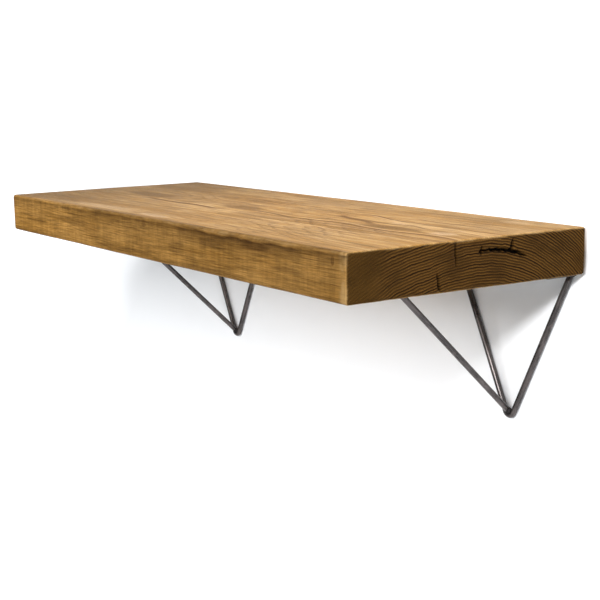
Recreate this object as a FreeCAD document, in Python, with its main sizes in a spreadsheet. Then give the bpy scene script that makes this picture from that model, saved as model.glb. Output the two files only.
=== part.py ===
import FreeCAD, Part

import os

import Sketcher

# Wall shelf: one thick timber board carried by two welded steel brackets.
#
# Frame, in millimetres: X runs along the board, Y points into the wall and Z
# is up. The wall is the plane Y = 0 and the whole shelf lies on its -Y side.
# The origin is on the wall, midway between the brackets, at the height of the
# wall screw holes.
#
# A bracket is a steel angle on the wall, a flat stem welded to its front edge
# and running forward under the board, one round rod bent to a V that stands
# against the wall, and one straight strut from the tip of the V up to the
# stem. Countersunk screws go up through the steel into the board.

DRIVING = [
    # The board.
    ("shelf_length", 600.0, "board, end to end"),
    ("shelf_depth", 225.0, "board, back edge to front edge"),
    ("shelf_thickness", 37.0, "board, underside to top"),
    ("edge_round", 3.0, "radius worked on every edge of the board"),
    # Where the brackets stand.
    ("bracket_inset", 80.0, "board end to the middle of a bracket"),
    # The wall angle.
    ("plate_thickness", 2.5, "steel of the wall angle and of the stem"),
    ("angle_leg", 30.0, "outside width of either leg of the angle"),
    ("angle_margin", 3.8, "angle beyond each leg of the V, along the wall"),
    ("root_radius", 2.0, "inside corner of the angle"),
    ("toe_radius", 1.2, "inner edge of each leg of the angle"),
    ("hole_rise", 14.0, "underside of the board up to the wall holes"),
    ("hole_pitch", 100.0, "between the two wall holes of a bracket"),
    ("wall_hole_diameter", 4.5, "clear hole for a wall screw"),
    ("wall_sink_diameter", 8.5, "countersink of a wall hole"),
    # The stem.
    ("stem_width", 25.0, "flat bar under the board"),
    ("stem_overrun", 22.4, "strut's axis to the front end of the stem"),
    ("stem_corner", 6.0, "rounded front corners of the stem"),
    # The rods.
    ("rod_diameter", 5.0, "round bar of the V and of the strut"),
    ("leg_spread", 130.0, "between the legs of the V, under the angle"),
    ("vertex_drop", 134.5, "underside of the board to where the legs' axes meet"),
    ("bend_radius", 5.0, "axis of the bend at the tip of the V"),
    ("strut_foot_rise", 2.6, "bottom of the bend's axis up to the strut's axis"),
    ("strut_reach", 129.6, "wall to the strut's axis under the stem"),
    # The screws that hold the board.
    ("screw_length", 30.0, "countersunk wood screw, overall"),
    ("screw_diameter", 4.0, "shank of the screw"),
    ("screw_head_diameter", 8.0, "head of the screw"),
    ("screw_tip", 6.0, "pointed end of the screw"),
    ("recess_width", 1.1, "arm of the cross recess"),
    ("recess_span", 4.6, "tip to tip of the cross recess"),
    ("recess_depth", 1.3, "depth of the cross recess"),
    ("screw_pitch", 70.0, "between the two screws in the angle"),
    ("screw_setback", 17.0, "wall to the screws in the angle"),
    ("stem_screw_edge", 8.5, "front end of the stem to its screw"),
    # Named clearances.
    ("shank_clearance", 0.25, "radial, screw shank in the steel"),
    ("seat_clearance", 0.05, "radial, screw head in its countersink"),
    ("pilot_clearance", 0.02, "radial, screw in the wood"),
    ("tip_clearance", 0.5, "beyond the point of the screw, in the wood"),
    ("wall_clearance", 0.3, "welds stay this far off the wall"),
    # The welds.
    ("weld_leg", 1.3, "bead beyond the rod, along the steel"),
    ("weld_rise", 1.4, "bead away from the steel, along the rod"),
    ("apex_weld_radius", 3.8, "ball of weld between the strut's foot and the V"),
    ("seam_width", 4.6, "weld across the root of the stem"),
    ("seam_height", 0.9, "how far that weld stands out"),
]

NAMES = [name for name, value, note in DRIVING]

# Places and angles that more than one piece is built from.
ROD_RADIUS = "(rod_diameter / 2)"
ANGLE_LENGTH = "(leg_spread + 2 * angle_margin)"
STEM_REACH = "(strut_reach + stem_overrun)"
LEG_LEAN = "atan((leg_spread / 2) / (vertex_drop - plate_thickness))"
BEND_CENTRE_DROP = f"(vertex_drop - bend_radius / sin({LEG_LEAN}))"
BEND_BOTTOM_DROP = f"({BEND_CENTRE_DROP} + bend_radius)"
STRUT_FOOT_DROP = f"({BEND_BOTTOM_DROP} - strut_foot_rise)"
STRUT_RISE = f"({STRUT_FOOT_DROP} - plate_thickness)"
STRUT_LEAN = f"atan((strut_reach - {ROD_RADIUS}) / {STRUT_RISE})"
STEM_SCREW_PLACE = f"({STEM_REACH} - stem_screw_edge)"
SHANK_HOLE = "(screw_diameter + 2 * shank_clearance)"
SINK_HOLE = "(screw_head_diameter + 2 * seat_clearance)"

SIDES = {"left": "-(shelf_length / 2 - bracket_inset)",
         "right": "(shelf_length / 2 - bracket_inset)"}

ON_VERTICAL_AXIS = -2
ON_HORIZONTAL_AXIS = -1

doc = FreeCAD.newDocument("wall_shelf")
sheet = doc.addObject("Spreadsheet::Sheet", "sizes")
for row, (name, value, note) in enumerate(DRIVING, start=1):
    sheet.set(f"A{row}", name)
    sheet.set(f"B{row}", f"{value:g}")
    sheet.set(f"C{row}", note)
    sheet.setAlias(f"B{row}", name)
doc.recompute()


def number(formula):
    """What a formula comes to now; sketches are drawn from it."""
    answer = sheet.evalExpression(formula)
    return float(getattr(answer, "Value", answer))


def bind(thing, prop, formula):
    """Tie a property to the sheet, so that it follows the sizes."""
    words = []
    word = ""
    for letter in formula + " ":
        if letter.isalnum() or letter == "_":
            word += letter
        else:
            words.append(f"sizes.{word}" if word in NAMES else word)
            words.append(letter)
            word = ""
    thing.setExpression(prop, "".join(words).strip())


def origin_plane(body, role):
    for feature in body.Origin.OriginFeatures:
        if feature.Role == role:
            return feature
    raise RuntimeError(f"{body.Label} has no {role}")


def new_body(name, label=None):
    body = doc.addObject("PartDesign::Body", name)
    body.Label = label or name
    return body


def new_sketch(body, name, role, lift=None):
    """A sketch on one of its body's origin planes, lifted along its normal."""
    sketch = body.newObject("Sketcher::SketchObject", name)
    sketch.AttachmentSupport = (origin_plane(body, role), [""])
    sketch.MapMode = "FlatFace"
    if lift:
        sketch.AttachmentOffset = FreeCAD.Placement(
            FreeCAD.Vector(0, 0, number(lift)), FreeCAD.Rotation())
        bind(sketch, "AttachmentOffset.Base.z", lift)
    return sketch


def hold_point(sketch, piece, end, across, up):
    """Fix a point of a sketch at (across, up), each a formula."""
    for kind, formula, axis in (("DistanceX", across, ON_VERTICAL_AXIS),
                                ("DistanceY", up, ON_HORIZONTAL_AXIS)):
        if formula == "0":
            sketch.addConstraint(Sketcher.Constraint("PointOnObject", piece, end, axis))
            continue
        value = number(formula)
        if value > 0:
            rule = sketch.addConstraint(
                Sketcher.Constraint(kind, -1, 1, piece, end, value))
            bind(sketch, f"Constraints[{rule}]", formula)
        else:
            rule = sketch.addConstraint(
                Sketcher.Constraint(kind, piece, end, -1, 1, -value))
            bind(sketch, f"Constraints[{rule}]", f"-({formula})")


def draw_polygon(sketch, corners):
    """A closed outline through corners given as pairs of formulas."""
    points = [FreeCAD.Vector(number(across), number(up), 0) for across, up in corners]
    lines = []
    for start, finish in zip(points, points[1:] + points[:1]):
        lines.append(sketch.addGeometry(Part.LineSegment(start, finish), False))
    for line, following in zip(lines, lines[1:] + lines[:1]):
        sketch.addConstraint(Sketcher.Constraint("Coincident", line, 2, following, 1))
    for line, (across, up) in zip(lines, corners):
        hold_point(sketch, line, 1, across, up)


def draw_circle(sketch, across, up, diameter):
    centre = FreeCAD.Vector(number(across), number(up), 0)
    circle = sketch.addGeometry(
        Part.Circle(centre, FreeCAD.Vector(0, 0, 1), number(diameter) / 2), False)
    hold_point(sketch, circle, 3, across, up)
    rule = sketch.addConstraint(
        Sketcher.Constraint("Diameter", circle, number(diameter)))
    bind(sketch, f"Constraints[{rule}]", diameter)


def pad(body, sketch, length, both_ways=False, reverse=False):
    feature = body.newObject("PartDesign::Pad", sketch.Name + "_pad")
    feature.Profile = sketch
    feature.SideType = "Symmetric" if both_ways else "One side"
    feature.Reversed = reverse
    bind(feature, "Length", length)
    doc.recompute()
    return feature


def check_cut(feature, before):
    """A cut that points the wrong way shows no error, so its volume is read."""
    if not feature.Shape.Volume < before - 1e-6:
        raise RuntimeError(f"{feature.Label} removed nothing")


def pocket(body, sketch, length, both_ways=False, reverse=False):
    before = body.Shape.Volume
    feature = body.newObject("PartDesign::Pocket", sketch.Name + "_pocket")
    feature.Profile = sketch
    feature.SideType = "Symmetric" if both_ways else "One side"
    feature.Reversed = reverse
    bind(feature, "Length", length)
    doc.recompute()
    check_cut(feature, before)
    return feature


def countersunk_holes(body, sketch, diameter, sink_diameter, reverse=False):
    """Through holes at the sketch's circles, sunk on the sketch's side."""
    before = body.Shape.Volume
    feature = body.newObject("PartDesign::Hole", sketch.Name + "_holes")
    feature.Profile = sketch
    feature.Reversed = reverse
    doc.recompute()
    feature.DepthType = "ThroughAll"
    feature.HoleCutType = "Countersink"
    feature.HoleCutCustomValues = True
    feature.HoleCutCountersinkAngle = 90
    bind(feature, "Diameter", diameter)
    bind(feature, "HoleCutDiameter", sink_diameter)
    doc.recompute()
    check_cut(feature, before)
    return feature


def fillet(body, name, wanted, radius):
    """Round the edges of the body that pass the test."""
    base = body.Tip
    edges = [f"Edge{index}" for index, edge in enumerate(base.Shape.Edges, start=1)
             if wanted(edge)]
    if not edges:
        raise RuntimeError(f"{name} found no edge")
    feature = body.newObject("PartDesign::Fillet", name)
    feature.Base = (base, edges)
    bind(feature, "Radius", radius)
    doc.recompute()
    return feature


def runs_along(edge, axis):
    ends = edge.Vertexes
    if len(ends) < 2:
        return False
    way = ends[1].Point - ends[0].Point
    return way.Length > 0 and abs(way.dot(axis)) > 0.999 * way.Length


def lies_at(edge, y=None, z=None):
    middle = edge.CenterOfMass
    at_y = y is None or abs(middle.y - number(y)) < 0.01
    at_z = z is None or abs(middle.z - number(z)) < 0.01
    return at_y and at_z


def place(thing, x=None, y=None, z=None):
    """Move a piece to where it stands in the shelf's frame."""
    for axis, formula in (("x", x), ("y", y), ("z", z)):
        if formula is not None:
            bind(thing, f"Placement.Base.{axis}", formula)


along_x = FreeCAD.Vector(1, 0, 0)
along_z = FreeCAD.Vector(0, 0, 1)


# Every piece below is drawn with Y = 0 on the wall and Z = 0 at the board's
# underside, and then lowered so that Z = 0 is the height of the wall holes.
UNDERSIDE = "-hole_rise"


def make_board():
    """A plank with rounded edges and a pilot hole for each screw."""
    body = new_body("shelf_board")
    back = "-plate_thickness"
    front = "-(plate_thickness + shelf_depth)"
    end = "shelf_length / 2"
    plan = new_sketch(body, "board_plan", "XY_Plane")
    draw_polygon(plan, [(f"-{end}", front), (end, front), (end, back), (f"-{end}", back)])
    pad(body, plan, "shelf_thickness")
    fillet(body, "board_edges", lambda edge: True, "edge_round")
    holes = new_sketch(body, "pilot_plan", "XY_Plane")
    for middle in SIDES.values():
        for side in ("-", "+"):
            draw_circle(holes, f"{middle} {side} screw_pitch / 2", "-screw_setback",
                        "screw_diameter + 2 * pilot_clearance")
        draw_circle(holes, middle, f"-{STEM_SCREW_PLACE}",
                    "screw_diameter + 2 * pilot_clearance")
    pocket(body, holes, "screw_length - plate_thickness + tip_clearance", reverse=True)
    place(body, z=UNDERSIDE)
    return body


def make_wall_angle(side):
    """Rolled angle: one leg on the wall, one under the board."""
    body = new_body(f"{side}_wall_angle")
    section = new_sketch(body, f"{side}_angle_section", "YZ_Plane")
    draw_polygon(section, [
        ("0", "-plate_thickness"),
        ("0", "angle_leg - plate_thickness"),
        ("-plate_thickness", "angle_leg - plate_thickness"),
        ("-plate_thickness", "0"),
        ("-angle_leg", "0"),
        ("-angle_leg", "-plate_thickness"),
    ])
    pad(body, section, ANGLE_LENGTH, both_ways=True)
    fillet(body, f"{side}_angle_root",
           lambda edge: runs_along(edge, along_x) and lies_at(edge, "-plate_thickness", "0"),
           "root_radius")
    fillet(body, f"{side}_angle_toes",
           lambda edge: runs_along(edge, along_x)
           and (lies_at(edge, "-plate_thickness", "angle_leg - plate_thickness")
                or lies_at(edge, "-angle_leg", "0")),
           "toe_radius")
    wall_holes = new_sketch(body, f"{side}_wall_hole_plan", "XZ_Plane", "plate_thickness")
    board_holes = new_sketch(body, f"{side}_board_hole_plan", "XY_Plane", "-plate_thickness")
    for sign in ("-", ""):
        draw_circle(wall_holes, f"{sign}hole_pitch / 2", "hole_rise", "wall_hole_diameter")
        draw_circle(board_holes, f"{sign}screw_pitch / 2", "-screw_setback", SHANK_HOLE)
    countersunk_holes(body, wall_holes, "wall_hole_diameter", "wall_sink_diameter")
    countersunk_holes(body, board_holes, SHANK_HOLE, SINK_HOLE, reverse=True)
    place(body, x=SIDES[side], z=UNDERSIDE)
    return body


def make_stem(side):
    """Flat bar from the angle's front edge forward, round-cornered in front."""
    body = new_body(f"{side}_stem")
    plan = new_sketch(body, f"{side}_stem_plan", "XY_Plane")
    half = "stem_width / 2"
    draw_polygon(plan, [(f"-{half}", f"-{STEM_REACH}"), (half, f"-{STEM_REACH}"),
                        (half, "-angle_leg"), (f"-{half}", "-angle_leg")])
    pad(body, plan, "plate_thickness", reverse=True)
    fillet(body, f"{side}_stem_corners",
           lambda edge: runs_along(edge, along_z) and lies_at(edge, f"-{STEM_REACH}"),
           "stem_corner")
    hole = new_sketch(body, f"{side}_stem_hole_plan", "XY_Plane", "-plate_thickness")
    draw_circle(hole, "0", f"-{STEM_SCREW_PLACE}", SHANK_HOLE)
    countersunk_holes(body, hole, SHANK_HOLE, SINK_HOLE, reverse=True)
    place(body, x=SIDES[side], z=UNDERSIDE)
    return body


def make_rear_rod(side):
    """One bar bent to a V against the wall; half is swept, then mirrored."""
    body = new_body(f"{side}_rear_rod")
    path = new_sketch(body, f"{side}_v_path", "XZ_Plane", ROD_RADIUS)
    past = "rod_diameter"
    top_x = f"(leg_spread / 2 + {past} * tan({LEG_LEAN}))"
    top_z = f"({past} - plate_thickness)"
    centre = FreeCAD.Vector(0, -number(BEND_CENTRE_DROP), 0)
    radius = number("bend_radius")
    lean = number(LEG_LEAN)
    turn = FreeCAD.Rotation(along_z, -lean)
    touch = centre + turn.multVec(FreeCAD.Vector(radius, 0, 0))
    top = FreeCAD.Vector(number(top_x), number(top_z), 0)
    bend_circle = Part.Circle(centre, along_z, radius)
    bend = path.addGeometry(
        Part.ArcOfCircle(bend_circle, bend_circle.parameter(centre - FreeCAD.Vector(0, radius, 0)),
                         bend_circle.parameter(touch)), False)
    leg = path.addGeometry(Part.LineSegment(touch, top), False)
    path.addConstraint(Sketcher.Constraint("PointOnObject", bend, 3, ON_VERTICAL_AXIS))
    path.addConstraint(Sketcher.Constraint("PointOnObject", bend, 1, ON_VERTICAL_AXIS))
    path.addConstraint(Sketcher.Constraint("Tangent", bend, 2, leg, 1))
    rule = path.addConstraint(Sketcher.Constraint("Radius", bend, radius))
    bind(path, f"Constraints[{rule}]", "bend_radius")
    drop = number(BEND_BOTTOM_DROP)
    rule = path.addConstraint(Sketcher.Constraint("DistanceY", bend, 1, -1, 1, drop))
    bind(path, f"Constraints[{rule}]", BEND_BOTTOM_DROP)
    hold_point(path, leg, 2, top_x, top_z)

    section = new_sketch(body, f"{side}_v_section", "YZ_Plane")
    draw_circle(section, f"-{ROD_RADIUS}", f"-{BEND_BOTTOM_DROP}", "rod_diameter")
    doc.recompute()
    pipe = body.newObject("PartDesign::AdditivePipe", f"{side}_v_sweep")
    pipe.Profile = section
    pipe.Spine = (path, ["Edge1", "Edge2"])
    doc.recompute()

    trim = new_sketch(body, f"{side}_v_trim", "XZ_Plane")
    outer = "(leg_spread / 2 + 4 * rod_diameter)"
    over = "(4 * rod_diameter)"
    draw_polygon(trim, [("0", "-plate_thickness"), (outer, "-plate_thickness"),
                        (outer, over), ("0", over)])
    cut = pocket(body, trim, "4 * rod_diameter", both_ways=True)
    mirror = body.newObject("PartDesign::Mirrored", f"{side}_v_mirror")
    mirror.Originals = [pipe, cut]
    mirror.MirrorPlane = (origin_plane(body, "YZ_Plane"), [""])
    body.Tip = mirror
    place(body, x=SIDES[side], z=UNDERSIDE)
    return body


def make_front_rod(side):
    """Straight strut: flat against the stem above, upright against the V."""
    body = new_body(f"{side}_front_rod")
    section = new_sketch(body, f"{side}_strut_section", "XY_Plane")
    section.AttachmentOffset = FreeCAD.Placement(
        FreeCAD.Vector(0, -number(ROD_RADIUS), -number(STRUT_FOOT_DROP)),
        FreeCAD.Rotation(along_x, number(STRUT_LEAN)))
    bind(section, "AttachmentOffset.Base.y", f"-{ROD_RADIUS}")
    bind(section, "AttachmentOffset.Base.z", f"-{STRUT_FOOT_DROP}")
    bind(section, "AttachmentOffset.Rotation.Angle", STRUT_LEAN)
    circle = section.addGeometry(
        Part.Circle(FreeCAD.Vector(0, 0, 0), along_z, number(ROD_RADIUS)), False)
    section.addConstraint(Sketcher.Constraint("Coincident", circle, 3, -1, 1))
    rule = section.addConstraint(
        Sketcher.Constraint("Diameter", circle, number("rod_diameter")))
    bind(section, f"Constraints[{rule}]", "rod_diameter")
    pad(body, section, f"{STRUT_RISE} / cos({STRUT_LEAN}) + 2 * rod_diameter")

    foot = new_sketch(body, f"{side}_strut_foot_trim", "YZ_Plane")
    low = f"-({STRUT_FOOT_DROP} + 3 * rod_diameter)"
    high = f"-({STRUT_FOOT_DROP} - 3 * rod_diameter)"
    draw_polygon(foot, [("-rod_diameter", low), ("rod_diameter", low),
                        ("rod_diameter", high), ("-rod_diameter", high)])
    pocket(body, foot, "4 * rod_diameter", both_ways=True)
    head = new_sketch(body, f"{side}_strut_head_trim", "YZ_Plane")
    near = "-(strut_reach - 4 * rod_diameter)"
    far = "-(strut_reach + 4 * rod_diameter)"
    draw_polygon(head, [(far, "-plate_thickness"), (near, "-plate_thickness"),
                        (near, "4 * rod_diameter"), (far, "4 * rod_diameter")])
    pocket(body, head, "4 * rod_diameter", both_ways=True)
    place(body, x=SIDES[side], z=UNDERSIDE)
    return body


def make_screw(name, x, y):
    """Countersunk wood screw with a cross recess, pointing up."""
    body = new_body(name)
    profile = new_sketch(body, f"{name}_profile", "XZ_Plane")
    head = "screw_head_diameter / 2"
    shank = "screw_diameter / 2"
    draw_polygon(profile, [
        ("0", "0"),
        (head, "0"),
        (shank, f"{head} - {shank}"),
        (shank, "screw_length - screw_tip"),
        ("0", "screw_length"),
    ])
    spun = body.newObject("PartDesign::Revolution", f"{name}_turned")
    spun.Profile = profile
    spun.ReferenceAxis = (profile, ["V_Axis"])
    spun.Angle = 360
    doc.recompute()
    cross = new_sketch(body, f"{name}_cross", "XY_Plane")
    arm = "recess_width / 2"
    tip = "recess_span / 2"
    draw_polygon(cross, [
        (arm, arm), (arm, tip), (f"-{arm}", tip), (f"-{arm}", arm),
        (f"-{tip}", arm), (f"-{tip}", f"-{arm}"), (f"-{arm}", f"-{arm}"),
        (f"-{arm}", f"-{tip}"), (arm, f"-{tip}"), (arm, f"-{arm}"),
        (tip, f"-{arm}"), (tip, arm),
    ])
    pocket(body, cross, "recess_depth", reverse=True)
    place(body, x=x, y=y, z="-(hole_rise + plate_thickness)")
    return body


def group(name, pieces):
    together = doc.addObject("Part::Compound", name)
    together.Links = pieces
    together.Label = name
    return together


def make_weld_room(side):
    """The room a bracket's welds may fill: below the steel, off the wall."""
    box = doc.addObject("Part::Box", f"{side}_weld_room")
    bind(box, "Length", ANGLE_LENGTH)
    bind(box, "Width", f"{STEM_REACH} - wall_clearance")
    bind(box, "Height", "vertex_drop + rod_diameter")
    place(box, x=f"{SIDES[side]} - {ANGLE_LENGTH} / 2", y=f"-{STEM_REACH}",
          z="-(hole_rise + plate_thickness + vertex_drop + rod_diameter)")
    return box


def make_bead(name, room, centre, half_sizes, rods):
    """A rounded bead: a ball or an ellipsoid kept in the room, less its rods."""
    if len(half_sizes) == 1:
        blob = doc.addObject("Part::Sphere", f"{name}_blob")
        bind(blob, "Radius", half_sizes[0])
    else:
        blob = doc.addObject("Part::Ellipsoid", f"{name}_blob")
        bind(blob, "Radius1", half_sizes[2])
        bind(blob, "Radius2", half_sizes[0])
        bind(blob, "Radius3", half_sizes[1])
    place(blob, x=centre[0], y=centre[1], z=centre[2])
    bead = doc.addObject("Part::Common", f"{name}_in_room")
    bead.Base = blob
    bead.Tool = room
    for count, rod in enumerate(rods, start=1):
        cut = doc.addObject("Part::Cut", f"{name}_less_rod_{count}")
        cut.Base = bead
        cut.Tool = rod
        bead = cut
    bead.Label = name
    return bead


def make_welds(side, rear_rod, front_rod):
    """The welds of one bracket, by the name of the piece they make."""
    middle = SIDES[side]
    room = make_weld_room(side)
    steel = "-(hole_rise + plate_thickness)"
    beads = []
    for sign in ("-", "+"):
        beads.append(make_bead(
            f"{side}_leg_weld_{'outer' if (sign == '+') == (side == 'right') else 'inner'}",
            room,
            (f"{middle} {sign} leg_spread / 2", f"-{ROD_RADIUS}", steel),
            (f"{ROD_RADIUS} / cos({LEG_LEAN}) + weld_leg", f"{ROD_RADIUS} + weld_leg",
             "weld_rise"),
            [rear_rod]))
    seam = doc.addObject("Part::Cylinder", f"{side}_seam_round")
    seam_radius = "((seam_width ^ 2 / 4 + seam_height ^ 2) / (2 * seam_height))"
    bind(seam, "Radius", seam_radius)
    bind(seam, "Height", "stem_width")
    seam.Placement = FreeCAD.Placement(
        FreeCAD.Vector(0, 0, 0), FreeCAD.Rotation(FreeCAD.Vector(0, 1, 0), 90))
    place(seam, x=f"{middle} - stem_width / 2", y="-angle_leg",
          z=f"-(hole_rise + plate_thickness) + {seam_radius} - seam_height")
    seam_weld = doc.addObject("Part::Common", f"{side}_stem_weld")
    seam_weld.Base = seam
    seam_weld.Tool = room
    seam_weld.Label = f"{side}_stem_weld"
    return {
        f"{side}_leg_welds": group(f"{side}_leg_welds", beads),
        f"{side}_stem_weld": seam_weld,
        f"{side}_strut_weld": make_bead(
            f"{side}_strut_weld", room,
            (middle, "-strut_reach", steel),
            (f"{ROD_RADIUS} + weld_leg",
             f"{ROD_RADIUS} / cos({STRUT_LEAN}) + weld_leg",
             "weld_rise"),
            [front_rod]),
        f"{side}_apex_weld": make_bead(
            f"{side}_apex_weld", room,
            (middle, f"-({ROD_RADIUS} + apex_weld_radius / 2)",
             f"-(hole_rise + {STRUT_FOOT_DROP} - apex_weld_radius / 3)"),
            ["apex_weld_radius"],
            [rear_rod, front_rod]),
    }


pieces = {"shelf_board": make_board()}
for side, middle in SIDES.items():
    rear_rod = make_rear_rod(side)
    front_rod = make_front_rod(side)
    pieces[f"{side}_wall_angle"] = make_wall_angle(side)
    pieces[f"{side}_stem"] = make_stem(side)
    pieces[f"{side}_rear_rod"] = rear_rod
    pieces[f"{side}_front_rod"] = front_rod
    pieces.update(make_welds(side, rear_rod, front_rod))
    pieces[f"{side}_angle_screws"] = group(f"{side}_angle_screws", [
        make_screw(f"{side}_angle_screw_1", f"{middle} - screw_pitch / 2", "-screw_setback"),
        make_screw(f"{side}_angle_screw_2", f"{middle} + screw_pitch / 2", "-screw_setback"),
    ])
    pieces[f"{side}_stem_screw"] = make_screw(
        f"{side}_stem_screw", middle, f"-{STEM_SCREW_PLACE}")

doc.recompute()

for thing in doc.Objects:
    if "Invalid" in thing.State or "Error" in thing.State:
        raise RuntimeError(f"{thing.Label} did not build")
for name, piece in pieces.items():
    if piece.Label != name:
        raise RuntimeError(f"{name} is labelled {piece.Label}")
    shape = piece.Shape
    solids_wanted = 2 if name.endswith(("_leg_welds", "_angle_screws")) else 1
    if shape.isNull() or not shape.isValid() or len(shape.Solids) != solids_wanted:
        raise RuntimeError(f"{name} has no sound shape")

os.makedirs("parts", exist_ok=True)
for name, piece in pieces.items():
    piece.Shape.exportStep(f"parts/{name}.step")
    box = piece.Shape.BoundBox
    print(f"{name}: {piece.Shape.Volume:.1f} mm3, X {box.XMin:.1f} to {box.XMax:.1f},"
          f" Y {box.YMin:.1f} to {box.YMax:.1f}, Z {box.ZMin:.1f} to {box.ZMax:.1f}")
print(f"{len(pieces)} pieces")
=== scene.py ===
import bpy
import math
import numpy as np
from mathutils import Matrix, Vector


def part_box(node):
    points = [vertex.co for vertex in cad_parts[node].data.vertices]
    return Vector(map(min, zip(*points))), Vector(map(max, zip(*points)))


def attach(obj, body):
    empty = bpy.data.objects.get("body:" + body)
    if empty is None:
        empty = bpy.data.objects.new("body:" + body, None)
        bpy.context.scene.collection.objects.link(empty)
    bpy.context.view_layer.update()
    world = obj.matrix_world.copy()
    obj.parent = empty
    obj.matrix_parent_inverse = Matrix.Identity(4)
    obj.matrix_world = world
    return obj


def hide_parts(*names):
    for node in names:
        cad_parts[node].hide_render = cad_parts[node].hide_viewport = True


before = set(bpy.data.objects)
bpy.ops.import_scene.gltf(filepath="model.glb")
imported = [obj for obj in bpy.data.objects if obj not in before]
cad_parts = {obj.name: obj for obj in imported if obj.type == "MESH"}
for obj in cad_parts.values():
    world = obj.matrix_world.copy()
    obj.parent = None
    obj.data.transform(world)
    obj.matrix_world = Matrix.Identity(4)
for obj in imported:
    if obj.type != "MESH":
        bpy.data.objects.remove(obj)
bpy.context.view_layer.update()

mm = 0.001
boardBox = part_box("shelf_board")
bracketMiddles = {side: 0.5 * (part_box(side + "_stem")[0][0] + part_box(side + "_stem")[1][0])
                  for side in ("left", "right")}
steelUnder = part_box("left_stem")[0][2]  # the flat underside that the rods are welded to
print("frame loaded,", len(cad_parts), "nodes")


# shader helpers
def newMaterial(name):
    # a material with an empty node tree
    material = bpy.data.materials.new(name)
    material.use_nodes = True
    material.node_tree.nodes.clear()
    return material, material.node_tree


def feed(tree, source, socket):
    # a socket is linked, anything else becomes the input's own value
    if isinstance(source, bpy.types.NodeSocket):
        tree.links.new(source, socket)
    else:
        socket.default_value = source


def maths(tree, operation, a, b=0.0):
    # one Math node: a and b through the named operation
    node = tree.nodes.new("ShaderNodeMath")
    node.operation = operation
    feed(tree, a, node.inputs[0])
    feed(tree, b, node.inputs[1])
    return node.outputs[0]


def total(tree, *terms):
    # a + b + c + ...
    result = terms[0]
    for term in terms[1:]:
        result = maths(tree, "ADD", result, term)
    return result


def times(tree, first, *others):
    # a * b * c * ...
    result = first
    for other in others:
        result = maths(tree, "MULTIPLY", result, other)
    return result


def strongest(tree, first, *others):
    # the largest of a, b, c, ...
    result = first
    for other in others:
        result = maths(tree, "MAXIMUM", result, other)
    return result


def easeBetween(tree, value, low, high, outLow=0.0, outHigh=1.0, kind="SMOOTHSTEP"):
    # t = (value - low) / (high - low) held in 0..1, eased by 3 t^2 - 2 t^3 unless
    # LINEAR, then outLow + t * (outHigh - outLow)
    node = tree.nodes.new("ShaderNodeMapRange")
    node.interpolation_type = kind
    for source, name in ((value, "Value"), (low, "From Min"), (high, "From Max"),
                         (outLow, "To Min"), (outHigh, "To Max")):
        feed(tree, source, node.inputs[name])
    return node.outputs[0]


def stretched(tree, vector, scale, place=(0, 0, 0)):
    # vector * scale + place
    node = tree.nodes.new("ShaderNodeMapping")
    feed(tree, vector, node.inputs["Vector"])
    node.inputs["Location"].default_value = place
    node.inputs["Scale"].default_value = scale
    return node.outputs[0]


def cloudy(tree, vector, scale, detail, roughness, place=(0, 0, 0)):
    # fractal noise about 0.5: octaves of the stretched vector, each one weighted
    # by the roughness of the last
    node = tree.nodes.new("ShaderNodeTexNoise")
    feed(tree, stretched(tree, vector, scale, place), node.inputs["Vector"])
    node.inputs["Scale"].default_value = 1.0
    node.inputs["Detail"].default_value = detail
    node.inputs["Roughness"].default_value = roughness
    return node.outputs[0]


def opaque(colour):
    # a plain (r, g, b) gets its alpha, a link stays a link
    return (*colour, 1.0) if isinstance(colour, tuple) and len(colour) == 3 else colour


def blendColour(tree, factor, a, b, kind="MIX"):
    # a + factor * (b - a), or a * b when the kind is MULTIPLY
    node = tree.nodes.new("ShaderNodeMix")
    node.data_type = "RGBA"
    node.blend_type = kind
    feed(tree, factor, node.inputs[0])
    feed(tree, opaque(a), node.inputs[6])
    feed(tree, opaque(b), node.inputs[7])
    return node.outputs[2]


def colourRamp(tree, factor, stops):
    # straight blends from stop to stop, each a place and a colour
    node = tree.nodes.new("ShaderNodeValToRGB")
    feed(tree, factor, node.inputs[0])
    ramp = node.color_ramp
    while len(ramp.elements) < len(stops):
        ramp.elements.new(0.5)
    for element, (position, colour) in zip(ramp.elements, stops):
        element.position = position
        element.color = opaque(colour)
    return node.outputs[0]


def readAttribute(tree, name):
    # a number that the mesh carries point by point
    node = tree.nodes.new("ShaderNodeAttribute")
    node.attribute_name = name
    return node.outputs["Fac"]


def objectSpace(tree):
    # places on the piece, in mm, and the same split into x, y and z
    coordinates = tree.nodes.new("ShaderNodeTexCoord").outputs["Object"]
    inMm = stretched(tree, coordinates, (1000, 1000, 1000))
    apart = tree.nodes.new("ShaderNodeSeparateXYZ")
    feed(tree, inMm, apart.inputs[0])
    return inMm, apart.outputs


def finishSurface(tree, colour, roughness, height=None, depth=0.0, fixed=None):
    # the shader and its output, with a bump of the given depth where height is 1;
    # fixed holds the values that are the same all over, set on the shader's sockets
    shader = tree.nodes.new("ShaderNodeBsdfPrincipled")
    output = tree.nodes.new("ShaderNodeOutputMaterial")
    feed(tree, opaque(colour), shader.inputs["Base Color"])
    feed(tree, roughness, shader.inputs["Roughness"])
    for name, value in (fixed or {}).items():
        shader.inputs[name].default_value = value
    if height is not None:
        bump = tree.nodes.new("ShaderNodeBump")
        bump.inputs["Distance"].default_value = depth
        feed(tree, height, bump.inputs["Height"])
        tree.links.new(bump.outputs[0], shader.inputs["Normal"])
    tree.links.new(shader.outputs[0], output.inputs["Surface"])
    return shader


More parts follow.
